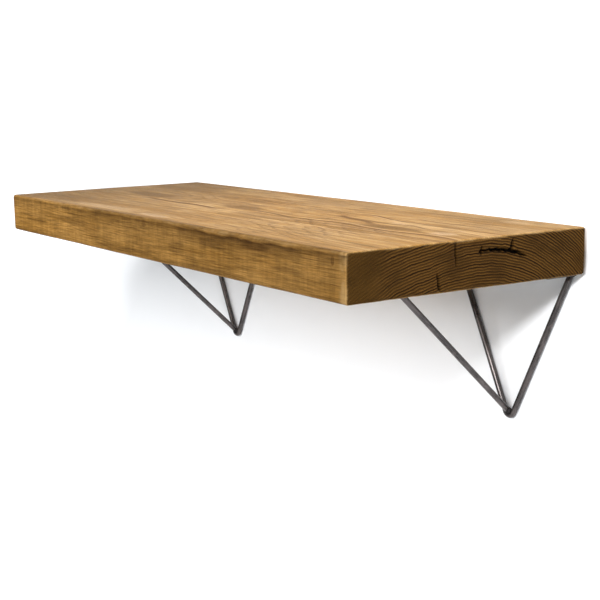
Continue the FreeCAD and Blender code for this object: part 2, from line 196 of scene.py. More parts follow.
# mesh helpers
def putMesh(name, points, faces, material, attributes=None):
    # a smooth shaded object from arrays, with its point attributes: one number
    # or three for each point
    mesh = bpy.data.meshes.new(name)
    mesh.from_pydata(points, [], faces.tolist() if hasattr(faces, "tolist") else faces)
    mesh.validate()
    mesh.polygons.foreach_set("use_smooth", np.ones(len(mesh.polygons), dtype=bool))
    for key, values in (attributes or {}).items():
        values = np.asarray(values, dtype=np.float32)
        threefold = values.ndim == 2
        layer = mesh.attributes.new(key, "FLOAT_VECTOR" if threefold else "FLOAT", "POINT")
        layer.data.foreach_set("vector" if threefold else "value", values.ravel())
    mesh.materials.append(material)
    mesh.update()
    piece = bpy.data.objects.new(name, mesh)
    bpy.context.collection.objects.link(piece)
    return piece


def gridFaces(rows, columns, closeRows=False, closeColumns=False):
    # quads of a rows x columns grid, numbered row by row
    i = np.arange(rows if closeRows else rows - 1)
    j = np.arange(columns if closeColumns else columns - 1)
    i, j = np.meshgrid(i, j, indexing="ij")
    nextI, nextJ = (i + 1) % rows, (j + 1) % columns
    quads = np.stack([i * columns + j, nextI * columns + j,
                      nextI * columns + nextJ, i * columns + nextJ], -1)
    return quads.reshape(-1, 4)


def unevenLine(low, high, density):
    # points from low to high, packed so that the spacing is 1 / density(t)
    t = np.linspace(low, high, 4001)
    amount = np.concatenate([[0.0], np.cumsum(0.5 * (density(t[1:]) + density(t[:-1])) * np.diff(t))])
    count = int(math.ceil(amount[-1]))
    line = np.interp(np.linspace(0, amount[-1], count + 1), amount, t)
    line[0], line[-1] = low, high
    return line


def ripple(t, waves):
    # sum of a * sin(f * t + p) over (a, f, p)
    return sum(a * np.sin(f * t + p) for a, f, p in waves)


def ease(t):
    # 3 t^2 - 2 t^3, with t held in 0..1
    t = np.clip(t, 0.0, 1.0)
    return t * t * (3 - 2 * t)


# the board
board = {
    "arrisRadius": 2.7 * mm,
    "wornArris": 3.1 * mm,        # extra, along the worst stretch of the front top edge
    "wornReach": 12 * mm,         # how far the wear spreads from its edge
    "wornPlaces": [(0.16, 0.085, 1.0), (-0.12, 0.05, 0.35)],  # along x: middle, spread, strength
    "arrisRise": 0.35 * mm,
    "arrisSway": 0.4 * mm,
    "arrisLimits": (1.4 * mm, 7 * mm),
    "warp": 0.25 * mm,
    "crackDepth": 4.5 * mm,
    "fineStep": 0.55 * mm,
    "coarseStep": 1.9 * mm,
    "lengthStep": 7.0 * mm,
    "thicknessStep": 0.6 * mm,
    "edgeReach": 4.5 * mm,        # how far in from an edge the mesh stays dense
    "mergeWithin": 0.001 * mm,
    # where across the board the mesh follows a check: middle and width in mm, weight
    "densePlaces": [(-86.5, 27, 1.0), (-131.7, 1.6, 1.0), (-147.4, 2.4, 1.0), (-62, 10, 0.5),
                    (-167.5, 1.6, 0.8)],
    # waves as (height, turns in radians per mm, start)
    "chew": [(0.28, 0.11, 0.4), (0.22, 0.23, 1.7), (0.16, 0.41, 4.0), (0.1, 0.83, 2.0)],
    "rise": [(0.6, 0.047, 0.3), (0.4, 0.12, 2.1)],
    "sway": [(0.5, 0.09, 1.0), (0.5, 0.31, 0.2)],
    "wander": [(0.35, 0.9, 0.5), (0.22, 2.3, 2.0)],
    "uneven": [(0.3, 0.19, 1.0), (0.25, 0.47, 0.3), (0.2, 0.083, 2.0)],
    # checks in the right end: (across, up) from the back bottom corner of the
    # wall frame, in mm, with the half width at each point
    "mainCheck": [(-109.5, 13.2, 0.5), (-102, 13.6, 0.9), (-94, 13.2, 1.5), (-86, 12.2, 1.35),
                  (-79, 11.0, 1.7), (-71, 8.8, 1.35), (-64.0, 5.8, 0.4)],
    "upCheck": [(-78.6, 11.0, 2.0), (-78.2, 14.5, 1.6), (-77.4, 19.0, 0.8)],
    "shortCheck": [(-107.6, 10.4, 0.6), (-107.4, 13.4, 1.5), (-107.2, 16.4, 0.5)],
    "topCheck": [(-131.6, 23.5, 0.8), (-131.9, 14.0, 0.7), (-131.4, 4.0, 0.3)],
    "lowCheck": [(-146.2, -14.5, 1.2), (-147.4, -6.0, 0.95), (-148.6, 1.0, 0.4)],
    "leftChecks": [[(-52, 6.0, 0.3), (-58, 1.5, 0.8), (-66, -2.0, 0.6), (-73, -3.4, 0.2)],
                   [(-168, 23.5, 0.5), (-167, 14.0, 0.4), (-167.8, 6.5, 0.15)]],
}
endX = float(boardBox[1][0])


def checkShape(across, up, line):
    # 1 on the crack's line, falling to 0 at its half width: w = 1 - (d / h)^2,
    # with d the distance to the broken line and h the half width there
    best = np.zeros_like(across)
    for (y0, z0, h0), (y1, z1, h1) in zip(line[:-1], line[1:]):
        length = (y1 - y0) ** 2 + (z1 - z0) ** 2
        t = np.clip(((across - y0) * (y1 - y0) + (up - z0) * (z1 - z0)) / length, 0, 1)
        distance = np.hypot(across - y0 - t * (y1 - y0), up - z0 - t * (z1 - z0))
        half = h0 + t * (h1 - h0)
        best = np.maximum(best, 1 - np.minimum(distance / half, 1.0) ** 2)
    return best


def makeBoard(material):
    # a box q is shrunk to its core c = clip(q, core) and let out again by the
    # local radius: p = c + (radius - inset) * (q - c) / |q - c|
    low, high = np.array(boardBox[0]), np.array(boardBox[1])
    centre, half = (low + high) / 2, (high - low) / 2
    fine, coarse = 1 / board["fineStep"], 1 / board["coarseStep"]

    def near(t, place, width):
        # exp(-(t - place)^4 / width^4)
        return np.exp(-((t - place) / width) ** 4)

    def densityY(t):
        # points per metre across the board: dense at the edges and the checks
        absolute = t + centre[1]
        edge = near(t, -half[1], board["edgeReach"]) + near(t, half[1], board["edgeReach"])
        cracks = sum(weight * near(absolute, place * mm, width * mm)
                     for place, width, weight in board["densePlaces"])
        return coarse + (fine - coarse) * np.minimum(edge + cracks, 1.0)

    def densityX(t):
        # points per metre along the board: dense at both ends
        edge = near(t, -half[0], board["edgeReach"]) + near(t, half[0], board["edgeReach"])
        return 1 / board["lengthStep"] + 1.25 * fine * edge

    lines = [unevenLine(-half[0], half[0], densityX), unevenLine(-half[1], half[1], densityY),
             unevenLine(-half[2], half[2], lambda t: np.full_like(t, 1 / board["thicknessStep"]))]
    chunks, faces, start = [], [], 0
    for axis in range(3):
        u, v = (axis + 1) % 3, (axis + 2) % 3
        a, b = np.meshgrid(lines[u], lines[v], indexing="ij")
        for sign in (-1, 1):
            q = np.empty((a.size, 3))
            q[:, axis], q[:, u], q[:, v] = sign * half[axis], a.ravel(), b.ravel()
            quads = gridFaces(len(lines[u]), len(lines[v])) + start
            faces.append(quads if sign > 0 else quads[:, ::-1])
            chunks.append(q)
            start += len(q)
    q = np.concatenate(chunks)
    _, first, back = np.unique(np.round(q / board["mergeWithin"]).astype(np.int64), axis=0,
                               return_index=True, return_inverse=True)
    q, faces = q[first], back.reshape(-1)[np.concatenate(faces)]
    x, y, z = q.T

    # how far the arris has gone, edge by edge
    frontTop = ease(1 - (y + half[1]) / board["wornReach"]) * ease(1 - (half[2] - z) / board["wornReach"])
    worst = sum(strength * np.exp(-((x - place) / spread) ** 2)
                for place, spread, strength in board["wornPlaces"])
    radius = (board["arrisRadius"]
              + board["wornArris"] * frontTop
              * np.clip(worst * (0.75 + ripple(x / mm, board["chew"])), 0, 1.3)
              + board["arrisRise"] * ripple(x / mm + 0.7 * y / mm, board["rise"])
              + board["arrisSway"] * ripple(y / mm, board["sway"]))
    radius = np.clip(radius, *board["arrisLimits"])[:, None]
    core = np.clip(q, -(half - radius), half - radius)
    way = q - core
    way /= np.linalg.norm(way, axis=1)[:, None]
    nx = way[:, 0]

    # checks, dents and the slight cup of a sawn plank, always inwards
    absoluteY, absoluteZ = (y + centre[1]) / mm, (z + centre[2]) / mm
    wander = ripple(absoluteY, board["wander"])
    rightEnd, leftEnd = ease((nx - 0.6) / 0.3), ease((-nx - 0.6) / 0.3)
    rightChecks = np.maximum.reduce([
        checkShape(absoluteY, absoluteZ + wander, board["mainCheck"]),
        checkShape(absoluteY + 0.12 * np.sin(2.1 * absoluteZ), absoluteZ, board["upCheck"]),
        checkShape(absoluteY, absoluteZ, board["shortCheck"]),
        0.7 * checkShape(absoluteY, absoluteZ, board["topCheck"]),
        0.8 * checkShape(absoluteY, absoluteZ, board["lowCheck"])])
    leftChecks = np.maximum.reduce(
        [checkShape(absoluteY, absoluteZ + wander, line) for line in board["leftChecks"]])
    check = rightChecks * rightEnd + leftChecks * leftEnd
    warp = board["warp"] * (0.5 + 0.5 * np.sin(x / 0.09 + 1.2) * np.cos(y / 0.05 + 0.4 * np.sin(x / 0.06)))
    inset = warp * (1 - rightEnd) * (1 - leftEnd) + board["crackDepth"] * np.sqrt(check)
    points = centre + core + (radius - inset[:, None]) * way
    arris = ease((0.985 - np.max(np.abs(way), axis=1)) / 0.2)
    # a dark line lies along the lower rim of the front top arris, and fades down the face
    below = (half[2] - radius[:, 0] - z) / mm
    along = np.clip(0.42 + 0.62 * worst + 0.5 * ripple(x / mm, board["uneven"]), 0, 1)
    smear = (np.exp(-(np.minimum(below - 0.3, 0) / 0.7) ** 2)
             * np.exp(-np.maximum(below - 0.3, 0) / (0.9 + 1.6 * along)))
    arrisUnderline = ease((-y - half[1] + 2.5 * mm) / (2 * mm)) * along * smear
    piece = putMesh("board", points, faces, material, {
        "endGrain": ease((np.abs(nx) - 0.45) / 0.45), "arris": arris,
        "check": np.clip(check * 2.2, 0, 1), "arrisUnderline": arrisUnderline})
    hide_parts("shelf_board")
    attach(piece, "root")
    print("board:", len(points), "points", len(faces), "faces")
    return piece


timber = {
    "pithAcross": -112.0,       # where the tree's centre runs, mm in the shelf's frame
    "pithUp": -112.0,
    "pithSway": 40.0,           # how far it wanders across and up
    "pithDrift": 26.0,
    "ringWidth": 2.05,
    "ringSwell": 2.6,           # slow and quick waves of the rings, in rings
    "ringWaver": 0.50,
    "ringWeights": (0.25, 1.0),  # the faintest and the darkest ring
    "ringCover": 0.80,
    "ringOnTopAndFront": (0.55, 0.45),
    "fibreFrom": (0.58, 0.46),  # the darkest fibres on the top and on the front
    "fibreTo": (1.44, 1.52),    # and the palest
    "frontPlain": 0.85,
    "leftTintOnFront": 0.2,
    "fleckCover": 0.40,
    "endFrontCover": 0.60,
    "endRingsAtFront": 0.30,
    "rubAndHighlightCover": 0.45,
    "faceHeight": {"fibre": 0.7, "fine": 0.35, "late": 0.12, "saw": 0.40, "flecks": -0.35},
    "endHeight": {"late": 0.9, "speck": 0.9},
    "roughFace": (0.44, 0.62),
    "roughEnd": 0.72,
    "bumpDepth": 0.30 * mm,
    "gloss": 0.03,
    # the faces
    "faceEarly": (0.350, 0.182, 0.045),
    "facePale": (0.50, 0.315, 0.132),
    "faceLate": (0.100, 0.040, 0.008),
    "faceStreak": (0.180, 0.087, 0.018),
    "fleckColour": (0.10, 0.045, 0.012),
    "leftTint": (0.22, 0.108, 0.014),
    # painted shade on the front's upper band and bottom rim, and the colour of its dark marks
    "frontMarkAndShade": (0.085, 0.040, 0.011),
    "darkLine": (0.135, 0.054, 0.007),
    "paleLine": (0.66, 0.44, 0.22),
    "scuffColour": (0.62, 0.44, 0.27),
    # the end grain
    "endEarly": (0.127, 0.060, 0.0120),
    "endLate": (0.0070, 0.0028, 0.0006),
    "endStain": (0.034, 0.016, 0.003),
    "endFront": (0.036, 0.0170, 0.0018),
    "endPore": (0.010, 0.0045, 0.0018),
    # edges and cracks: rubbed edges with painted highlight, and checks painted near black as painted shade
    "rubbedEdgeAndHighlight": (0.40, 0.26, 0.115),
    "nickedEdge": (0.40, 0.25, 0.10),
    "arrisUnderlineColour": (0.045, 0.020, 0.006),
    "checkShadeColour": (0.004, 0.0025, 0.0018),
    # noises: scale along, across and up per mm, detail, roughness, place
    "noises": {
        "drift": ((0.0036, 0.002, 0.002), 2, 0.4, (3.1, 0, 0)),
        "sway": ((0.0036, 0.003, 0.003), 1, 0.5, (0, 7.7, 0)),
        "swell": ((0.006, 0.034, 0.034), 3, 0.5),
        "waver": ((0.016, 0.20, 0.20), 2, 0.55),
        "broad": ((0.010, 0.17, 0.17), 4, 0.62),
        "fibre": ((0.028, 0.80, 0.80), 4, 0.70),
        "fine": ((0.055, 2.1, 2.1), 3, 0.68, (2, 8, 1)),
        "fleck": ((0.10, 1.9, 1.9), 2, 0.6, (5, 5, 5)),
        "patch": ((0.010, 0.026, 0.026), 3, 0.55, (1.3, 4.0, 0)),
        "saw": ((0.24, 0.06, 0.05), 3, 0.6),
        "fray": ((0.028, 0.10, 0.10), 3, 0.6, (6, 0, 3)),
        "hair": ((0.0085, 0.40, 0.40), 4, 0.66, (4, 1, 6)),
        "band": ((0.0055, 0.062, 0.062), 4, 0.72, (9, 3, 7)),
        "speck": ((1.0, 1.3, 1.3), 4, 0.7),
        "stain": ((0.02, 0.028, 0.05), 3, 0.6, (2, 2, 9)),
        "rubbed": ((0.06, 0.06, 0.06), 3, 0.6, (3, 3, 3)),
    },
    # fades of a place in mm or of a noise: from, to, and what it gives at each
    "fades": {
        "top": (17.0, 21.0),
        "front": (-220.0, -225.0),
        "frontward": (-186.0, -214.0),
        "pithDrop": (60.0, 330.0, 12.0, 0.0),
        "flatter": (-80.0, 30.0, 0.74, 1.04),
        "pale": (0.40, 0.62, 0.75, 0.0),
        "broad": (0.48, 0.70, 0.0, 0.62),
        "patch": (0.42, 0.68, 0.0, 0.40),
        "hair": (0.53, 0.68, 0.0, 0.72),
        "ringPatch": (0.34, 0.66, 0.20, 1.0),
        "scuffGrain": (0.40, 0.62, 0.35, 1.0),
        "leftTint": (-300.0, -30.0, 0.50, 0.0),
        # painted shade on the front: a band under the top arris, stronger to the right, and darker towards the
        # bottom edge
        "topRim": (6.0, 19.0),
        "topRimAlong": (-120.0, 160.0, 0.22, 0.50),
        "lowRim": (-8.0, -14.0, 0.0, 0.30),
        # painted shade and light: the top darker towards its left and right ends, the front lighter to the
        # left and darker to the right, and darker near the wall
        "topLeft": (-300.0, -40.0, 0.70, 1.0),
        "topRight": (60.0, 260.0, 1.0, 0.89),
        "frontAlong": (-280.0, 20.0, 1.16, 0.84),
        "nearWall": (-70.0, -20.0, 1.0, 0.90),
        "fleck": (0.58, 0.72),
        "endWeight": (0.2, 1.0, 0.70, 1.0),
        "endStain": (0.42, 0.66, 0.0, 0.55),
        "endPore": (0.30, 0.66, 0.60, 0.0),
        # rubbed wear with painted highlight along the arrises, little on the lowest edges
        "rubHigh": (-13.0, -7.0, 0.15, 1.0),
        "rubFibre": (0.35, 0.62, 0.3, 1.0),
        "rubPatch": (0.38, 0.66, 0.15, 1.0),
        "nickAlong": (289.0, 296.0),
        "nickPatch": (0.36, 0.60, 0.15, 0.75),
        "nickEnd": (0.1, 0.6, 1.0, 0.0),
    },
    # late wood in each ring: starts, full, falls, ends
    "ringOnEnd": (0.16, 0.66, 0.88, 0.995),
    "ringOnFace": (0.50, 0.90, 0.92, 0.998),
    # darker stains on the top: middle x, middle y, half length, half width, strength
    "topStains": [
        (-10, -118, 34, 12, 0.85), (-192, -118, 54, 14, 0.90), (-105, -77, 26, 8, 0.70),
        (-56, -77, 22, 5, 0.55), (-176, -50, 32, 9, 0.55), (204, -116, 44, 9, 0.85),
        (-130, -62, 70, 18, 0.34), (60, -84, 50, 14, 0.34), (-90, -174, 60, 18, 0.3),
        (-190, -192, 90, 24, 0.30), (-236, -66, 50, 26, 0.25)],
    # single growth lines: y at x = 0, slope, wave height, wave length, from, to,
    # half width, strength; dark ones first, then the pale ones beside them
    "topLines": [
        (-50, -0.19, 1.2, 60, 104, 196, 2.1, 1.0), (-61, -0.29, 1.8, 70, 96, 184, 5.0, 0.85),
        (-127, -0.012, 3.0, 120, -4, 312, 3.0, 0.85), (-135, -0.020, 2.2, 150, 100, 312, 1.6, 0.85),
        (-139, -0.004, 1.4, 90, -175, -4, 4.6, 0.85), (-98, -0.012, 2.2, 64, 150, 306, 1.7, 0.8),
        (-73, -0.07, 1.4, 80, -90, 16, 2.0, 0.75), (-62, -0.02, 1.6, 75, 160, 306, 1.5, 0.75),
        (-80, -0.015, 1.5, 58, 165, 306, 1.4, 0.75), (-146, 0.005, 1.2, 100, 130, 312, 1.5, 0.75)],
    "paleLines": [
        (-122.5, -0.012, 3.0, 120, 90, 312, 1.7, 0.5), (-52, -0.19, 1.2, 60, 112, 190, 1.3, 0.6),
        (-134.5, -0.004, 1.4, 90, -160, -20, 1.6, 0.55), (-153, -0.008, 2.0, 110, 60, 300, 1.4, 0.5),
        (-170, -0.004, 1.6, 140, -40, 240, 1.4, 0.4), (-88, -0.015, 1.5, 58, 150, 300, 1.3, 0.5)],
    # scuffed pale spots on the top, and dark ones on the front, laid out as the stains
    "topScuffs": [
        (-288, -74, 14, 15, 0.6), (-226, -20, 26, 7, 0.45), (264, -113, 15, 9, 0.6),
        (-6, -213, 26, 6, 0.5), (-118, -210, 66, 9, 0.35), (-284, -150, 14, 10, 0.4),
        (246, -24, 20, 7, 0.35), (190, -95, 12, 4, 0.4)],
    "frontMarks": [
        (283.5, 15.5, 2.6, 5, 0.75), (2, 16.5, 6, 2.2, 0.55), (-3, 14.0, 3.0, 1.6, 0.5),
        (118, 13, 26, 6, 0.6), (182, 15.5, 26, 4, 0.8), (-40, -8.5, 70, 3, 0.45),
        (120, -10.5, 60, 2.5, 0.45), (225, 3, 30, 2, 0.35), (-150, 8, 40, 5, 0.35), (60, 4, 16, 8, 0.35),
        (-236, 2, 24, 6, 0.3)],
}


def softStain(tree, x, y, jitter, stain):
    # an ellipse with a soft, frayed edge: 1 - ease(|((x - a) / c, (y - b) / d)| + fray)
    a, b, c, d, strength = stain
    u = times(tree, maths(tree, "SUBTRACT", x, a), 1 / c)
    v = times(tree, maths(tree, "SUBTRACT", y, b), 1 / d)
    reach = maths(tree, "SQRT", maths(tree, "ADD", times(tree, u, u), times(tree, v, v)))
    return easeBetween(tree, total(tree, reach, times(tree, jitter, 0.9)), 0.55, 1.15, strength, 0.0)


def growthLine(tree, x, y, jitter, line):
    # dark where |y - (y0 + k x + h sin(2 pi x / w) + fray)| is under the half width
    start, slope, height, length, low, high, half, strength = line
    wave = times(tree, maths(tree, "SINE", times(tree, x, 2 * math.pi / length)), height)
    middle = total(tree, times(tree, x, slope), wave, start, times(tree, jitter, 5.0))
    gap = maths(tree, "SUBTRACT", y, middle)
    inked = easeBetween(tree, maths(tree, "ABSOLUTE", gap), 0.15 * half, half, strength, 0.0)
    onset = easeBetween(tree, x, low, low + 22)
    return times(tree, inked, onset, easeBetween(tree, x, high - 22, high, 1.0, 0.0))


def fade(tree, value, name):
    # the named fade of a place or a noise
    return easeBetween(tree, value, *timber["fades"][name])


def allMarks(tree, shape, marks, u, v, jitter):
    # the strongest of several stains or lines
    return strongest(tree, *(shape(tree, u, v, jitter, mark) for mark in marks))


def growthRings(tree, x, y, z, noise):
    # ring number = distance from the pith / ring width + swell + waver; gives how
    # far each point is through its ring, and that ring's own weight. The pith
    # wanders slowly along the plank and dips away from the right end; towards the
    # front the rings run flatter, as if from a wider circle
    drift, sway = (maths(tree, "SUBTRACT", noise[name], 0.5) for name in ("drift", "sway"))
    drop = fade(tree, x, "pithDrop")
    across = total(tree, y, -timber["pithAcross"], times(tree, sway, timber["pithSway"]))
    across = times(tree, across, fade(tree, across, "flatter"))
    up = total(tree, z, -timber["pithUp"], times(tree, drift, timber["pithDrift"]), drop)
    distance = maths(tree, "SQRT", total(tree, times(tree, across, across), times(tree, up, up)))
    ringCount = total(tree, times(tree, distance, 1 / timber["ringWidth"]),
                      times(tree, noise["swell"], timber["ringSwell"]),
                      times(tree, noise["waver"], timber["ringWaver"]))
    pick = tree.nodes.new("ShaderNodeTexWhiteNoise")
    pick.noise_dimensions = "1D"
    feed(tree, maths(tree, "FLOOR", ringCount), pick.inputs["W"])
    weight = easeBetween(tree, pick.outputs["Value"], 0.0, 1.0, *timber["ringWeights"], "LINEAR")
    return maths(tree, "FRACT", ringCount), weight


def ringLine(tree, phase, start, full, fall, end):
    # late wood: rises from start to full, and drops from fall to the ring's end
    return times(tree, easeBetween(tree, phase, start, full), easeBetween(tree, phase, fall, end, 1.0, 0.0))


def sawnFace(tree, x, y, z, noise, phase, weight, front):
    # early wood in pale and plain bands, under streaks, ring lines, stains, single
    # lines, scuffs, dark marks and darker rims of painted shade on the front, then
    # times a factor of fine fibres and saw marks that also holds painted shade and
    # light: the top darker towards both ends, the front lighter to the left and
    # darker to the right, and darker near the wall
    def faceOrFront(onFace, onFront):
        # one value on the front, the other on every other face
        return easeBetween(tree, front, 0.0, 1.0, onFace, onFront, "LINEAR")

    def over(below, colour, *amounts):
        # the named colour laid over what is below by the product of the amounts
        return blendColour(tree, times(tree, *amounts), below, timber[colour])

    fray = maths(tree, "SUBTRACT", noise["fray"], 0.5)
    onTop = fade(tree, z, "top")
    face = over(timber["faceEarly"], "facePale", fade(tree, noise["band"], "pale"))
    face = over(face, "faceEarly", front, timber["frontPlain"])
    face = over(face, "faceStreak", fade(tree, noise["broad"], "broad"))
    face = over(face, "faceStreak", fade(tree, noise["patch"], "patch"))
    face = over(face, "faceStreak", fade(tree, noise["hair"], "hair"))
    face = over(face, "faceLate", ringLine(tree, phase, *timber["ringOnFace"]), weight,
                fade(tree, noise["patch"], "ringPatch"), faceOrFront(*timber["ringOnTopAndFront"]),
                timber["ringCover"])
    face = over(face, "faceStreak", allMarks(tree, softStain, timber["topStains"], x, y, fray), onTop)
    face = over(face, "darkLine", allMarks(tree, growthLine, timber["topLines"], x, y, fray), onTop)
    face = over(face, "paleLine", allMarks(tree, growthLine, timber["paleLines"], x, y, fray), onTop)
    face = over(face, "scuffColour", allMarks(tree, softStain, timber["topScuffs"], x, y, fray),
                fade(tree, noise["fine"], "scuffGrain"), onTop)
    face = over(face, "leftTint", fade(tree, x, "leftTint"),
                easeBetween(tree, front, 0.0, 1.0, 1.0, timber["leftTintOnFront"]))
    # painted shade on the front in a band under the top arris and towards the bottom edge, with the front's
    # dark marks in the same colour
    rimShadeAndMarks = total(tree, times(tree, fade(tree, z, "topRim"), fade(tree, x, "topRimAlong")),
                 fade(tree, z, "lowRim"))
    rimShadeAndMarks = strongest(tree, rimShadeAndMarks, allMarks(tree, softStain, timber["frontMarks"], x, z, fray))
    face = over(face, "frontMarkAndShade", rimShadeAndMarks, front)

    threads = total(tree, times(tree, noise["fibre"], 0.5), times(tree, noise["fine"], 0.5))
    # painted shade and light along the top and the front, and painted shade near the wall
    topPaintedShade = times(tree, fade(tree, x, "topLeft"), fade(tree, x, "topRight"))
    frontPaintedLightAndShade = fade(tree, x, "frontAlong")
    sawn = easeBetween(tree, noise["saw"], 0.32, 0.68, 0.84, 1.10, "LINEAR")
    threads = easeBetween(tree, threads, 0.36, 0.64, faceOrFront(*timber["fibreFrom"]),
                          faceOrFront(*timber["fibreTo"]), "LINEAR")
    fibreSawAndPaintedShade = times(tree, threads, faceOrFront(topPaintedShade, frontPaintedLightAndShade), fade(tree, y, "nearWall"),
                  faceOrFront(1.0, sawn))
    grey = tree.nodes.new("ShaderNodeCombineXYZ")
    for socket in grey.inputs:
        feed(tree, fibreSawAndPaintedShade, socket)
    face = blendColour(tree, 1.0, face, grey.outputs[0], "MULTIPLY")
    return over(face, "fleckColour", fade(tree, noise["fleck"], "fleck"), timber["fleckCover"])


def sawnEnd(tree, y, noise, late, weight):
    # end grain: the same rings, darker, under stains and pores, and worn smooth
    # and dark towards the front
    frontward = fade(tree, y, "frontward")
    lateEnd = times(tree, fade(tree, weight, "endWeight"), late,
                    easeBetween(tree, frontward, 0.0, 1.0, 1.0, timber["endRingsAtFront"]))
    end = blendColour(tree, lateEnd, timber["endEarly"], timber["endLate"])
    end = blendColour(tree, fade(tree, noise["stain"], "endStain"), end, timber["endStain"])
    end = blendColour(tree, times(tree, frontward, timber["endFrontCover"]), end, timber["endFront"])
    return blendColour(tree, fade(tree, noise["speck"], "endPore"), end, timber["endPore"])


def makeTimber():
    # one solid pattern for the whole plank: faces and ends blended by the end
    # grain attribute, then the rubbed edges with painted highlight, the nicked
    # edges, the dark line under the front arris and the checks in painted shade on top
    material, tree = newMaterial("sawn timber")
    inMm, (x, y, z) = objectSpace(tree)
    noise = {name: cloudy(tree, inMm, *recipe) for name, recipe in timber["noises"].items()}
    endGrain, arris, check, arrisUnderline = (readAttribute(tree, name)
                                     for name in ("endGrain", "arris", "check", "arrisUnderline"))
    front = fade(tree, y, "front")
    phase, weight = growthRings(tree, x, y, z, noise)
    late = ringLine(tree, phase, *timber["ringOnEnd"])
    colour = blendColour(tree, endGrain, sawnFace(tree, x, y, z, noise, phase, weight, front),
                         sawnEnd(tree, y, noise, late, weight))

    # rubbed wear with painted highlight: a paler colour along the upper arrises
    rubAndHighlight = times(tree, arris, fade(tree, z, "rubHigh"),
                fade(tree, noise["fibre"], "rubFibre"),
                fade(tree, noise["rubbed"], "rubPatch"), timber["rubAndHighlightCover"])
    nicked = times(tree, front, fade(tree, x, "nickAlong"),
                   fade(tree, noise["rubbed"], "nickPatch"),
                   fade(tree, endGrain, "nickEnd"))
    # the checks are painted near black: painted shade in the cracks
    for amount, name in ((rubAndHighlight, "rubbedEdgeAndHighlight"), (nicked, "nickedEdge"), (arrisUnderline, "arrisUnderlineColour"),
                         (check, "checkShadeColour")):
        colour = blendColour(tree, amount, colour, timber[name])

    layers = {**noise, "late": late, "flecks": fade(tree, noise["fleck"], "fleck")}
    faceHeight, endHeight = (
        total(tree, *(times(tree, layers[name], share) for name, share in timber[kind].items()))
        for kind in ("faceHeight", "endHeight"))
    height = easeBetween(tree, endGrain, 0.0, 1.0, faceHeight, endHeight, "LINEAR")
    roughFace = easeBetween(tree, noise["fibre"], 0.2, 0.8, *timber["roughFace"], "LINEAR")
    roughness = easeBetween(tree, endGrain, 0.0, 1.0, roughFace, timber["roughEnd"], "LINEAR")
    finishSurface(tree, colour, roughness, height, timber["bumpDepth"],
                  {"Specular IOR Level": timber["gloss"]})
    return material


timberMaterial = makeTimber()
makeBoard(timberMaterial)


# rods
rods = {
    "radius": 2.49 * mm,
    "sides": 40,
    "bend": 5.0 * mm,
    "legSpread": 130.0 * mm,
    "vertexDrop": 134.5 * mm,      # board's underside to where the legs' axes meet
    "strutFootRise": 2.6 * mm,     # bottom of the bend's axis up to the strut's axis
    "strutReach": 129.6 * mm,
    "strutTrim": 3.4 * mm,         # how near the wall the strut's foot is melted in
    "darkScale": (0.052, 0.046, 0.047),
    "paleScale": (0.122, 0.103, 0.100),
    "drawLine": (0.13, 0.118, 0.113),
    "rustSpot": (0.035, 0.024, 0.018),
    "roughness": (0.20, 0.38),
    "bumpDepth": 0.03 * mm,
    "metallic": 0.8,
}
boardUnder = float(boardBox[0][2])
legLean = math.atan(rods["legSpread"] / 2 / (rods["vertexDrop"] - (boardUnder - steelUnder)))
bendHub = boardUnder - rods["vertexDrop"] + rods["bend"] / math.sin(legLean)
strutFoot = bendHub - rods["bend"] + rods["strutFootRise"]
strutLean = math.atan((rods["strutReach"] - rods["radius"]) / (steelUnder - strutFoot))


def closeTube(rings):
    # a grid of rings, rows x sides, with a hub point closing each end
    rows, sides = rings.shape[:2]
    points = np.concatenate([rings.reshape(-1, 3), rings[0].mean(0)[None], rings[-1].mean(0)[None]])
    a = np.arange(sides)
    b = (a + 1) % sides
    last, hub = (rows - 1) * sides, rows * sides
    caps = np.stack([np.concatenate([a, last + b]), np.concatenate([b, last + a]),
                     np.concatenate([np.full(sides, hub), np.full(sides, hub + 1)])], -1)
    return points, gridFaces(rows, sides, closeColumns=True).tolist() + caps.tolist()


def tubeAlong(path, side, radius, sides, startPlane=None, endPlane=None):
    # p = path(s) + r (cos a * side + sin a * (tangent x side)); each end ring
    # slides along its tangent until it lies in the plane that trims it
    tangent = np.gradient(path, axis=0)
    tangent[0], tangent[-1] = path[1] - path[0], path[-1] - path[-2]
    tangent /= np.linalg.norm(tangent, axis=1)[:, None]
    side = np.broadcast_to(np.asarray(side, float), path.shape)
    other = np.cross(tangent, side)
    angle = np.linspace(0, 2 * np.pi, sides, endpoint=False)
    ring = (np.cos(angle)[None, :, None] * side[:, None] + np.sin(angle)[None, :, None] * other[:, None])
    points = path[:, None] + radius * ring
    for index, plane in ((0, startPlane), (-1, endPlane)):
        if plane is not None:
            axis, value = plane
            slide = (value - points[index][:, axis]) / tangent[index][axis]
            points[index] += tangent[index] * slide[:, None]
    length = np.concatenate([[0], np.cumsum(np.linalg.norm(np.diff(path, axis=0), axis=1))])
    own = np.stack(np.broadcast_arrays(
        length[:, None], radius * np.cos(angle)[None], radius * np.sin(angle)[None]), -1)
    own = np.concatenate([own.reshape(-1, 3), [[0, 0, 0], [length[-1], 0, 0]]])
    points, faces = closeTube(points)
    return points, faces, own


def vPath(middle):
    # down one leg, round the bend and up the other, in the plane one radius
    # off the wall; lean = atan(half spread / height)
    turn = np.linspace(-(math.pi / 2 - legLean), math.pi / 2 - legLean, 25)
    bendX, bendZ = rods["bend"] * np.sin(turn), bendHub - rods["bend"] * np.cos(turn)
    legZ = np.linspace(steelUnder, bendZ[0], 24)[:-1]
    legX = -(rods["legSpread"] / 2) + (steelUnder - legZ) * math.tan(legLean)
    x = np.concatenate([legX, bendX, -legX[::-1]])
    z = np.concatenate([legZ, bendZ, legZ[::-1]])
    return np.stack([middle + x, np.full_like(x, -rods["radius"] - 0.01 * mm), z], -1)


